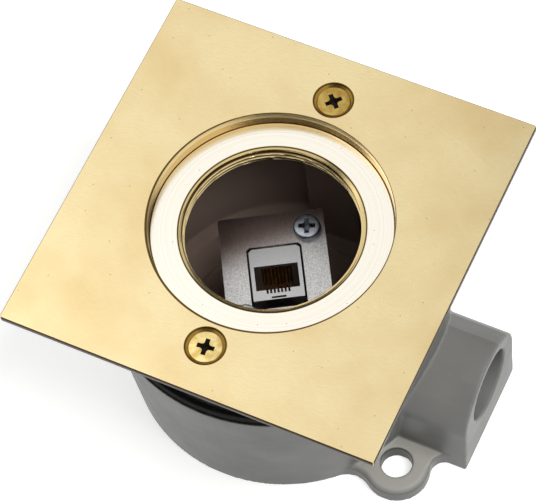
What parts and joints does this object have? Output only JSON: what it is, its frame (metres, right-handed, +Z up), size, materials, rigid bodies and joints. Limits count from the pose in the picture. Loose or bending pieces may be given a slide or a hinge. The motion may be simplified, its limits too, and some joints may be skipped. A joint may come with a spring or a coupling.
{
  "type": "floor socket box",
  "caption": "Round cast floor box with a square brass cover plate, a threaded recess, a conduit boss, fixing lugs and a data jack on a bracket inside.",
  "frame": {"origin": "centre of the box's flat bottom face, on the axis of the threaded recess", "axes": "+Z up out of the recess, +X along the conduit boss, +Y along the line of the two plate screws"},
  "size_m": [0.1192, 0.11, 0.0735],
  "materials": {
    "brass_plate": "satin linished",
    "brass_ring": "turned",
    "brass_screws": "plain",
    "rubber": "matte",
    "painted_iron": "semi-gloss grey paint over cast iron",
    "bracket_steel": "zinc plated, dull",
    "zinc_steel": "bright zinc plated",
    "zinc_casting": "satin nickel on zinc die casting",
    "black_plastic": "moulded",
    "gold_contacts": "gold flashed",
    "circuit_board": "solder resist",
    "tinned_contacts": "tinned",
    "spring_steel": "plain"
  },
  "bodies": {
    "box": {"cover_plate": "brass_plate", "recess_ring": "brass_ring", "ring_seal": "rubber", "plate_screws": "brass_screws", "extension_collar": "painted_iron", "rim_gasket": "rubber", "box_body": "painted_iron", "jack_bracket": "bracket_steel", "bracket_standoffs": "zinc_steel", "bracket_screws": "zinc_steel", "earth_washer": "brass_screws", "earth_screw": "brass_screws", "jack_housing": "zinc_casting", "contact_carrier": "black_plastic", "contact_tails": "gold_contacts", "jack_board": "circuit_board", "terminal_block": "black_plastic", "cable_blades": "tinned_contacts", "cover_pins": "zinc_steel"},
    "latch": {"latch_spring": "spring_steel"},
    "contacts": {"contact_springs": "gold_contacts"},
    "cover_right": {"rear_cover_right": "zinc_casting"},
    "cover_left": {"rear_cover_left": "zinc_casting"}
  },
  "joints": [
    {"name": "rear_cover_right_hinge", "type": "hinge", "parent": "box", "child": "cover_right", "pos_m": [0.00451, 0.00325, 0.0211], "axis": [0.5105, -0.8599, 0], "range_deg": [0, 90]},
    {"name": "rear_cover_left_hinge", "type": "hinge", "parent": "box", "child": "cover_left", "pos_m": [-0.00598, -0.00298, 0.0211], "axis": [-0.5105, 0.8599, 0], "range_deg": [0, 90]},
    {"name": "latch_flex", "type": "hinge", "parent": "box", "child": "latch", "pos_m": [0.00364, -0.00722, 0.0235], "axis": [-0.8599, -0.5105, 0], "range_deg": [0, 4.5], "stiffness_Nm_per_rad": 0.3},
    {"name": "contact_flex", "type": "hinge", "parent": "box", "child": "contacts", "pos_m": [-0.00216, 0.00254, 0.0401], "axis": [0.8599, 0.5105, 0], "range_deg": [0, 16], "stiffness_Nm_per_rad": 0.1}
  ]
}
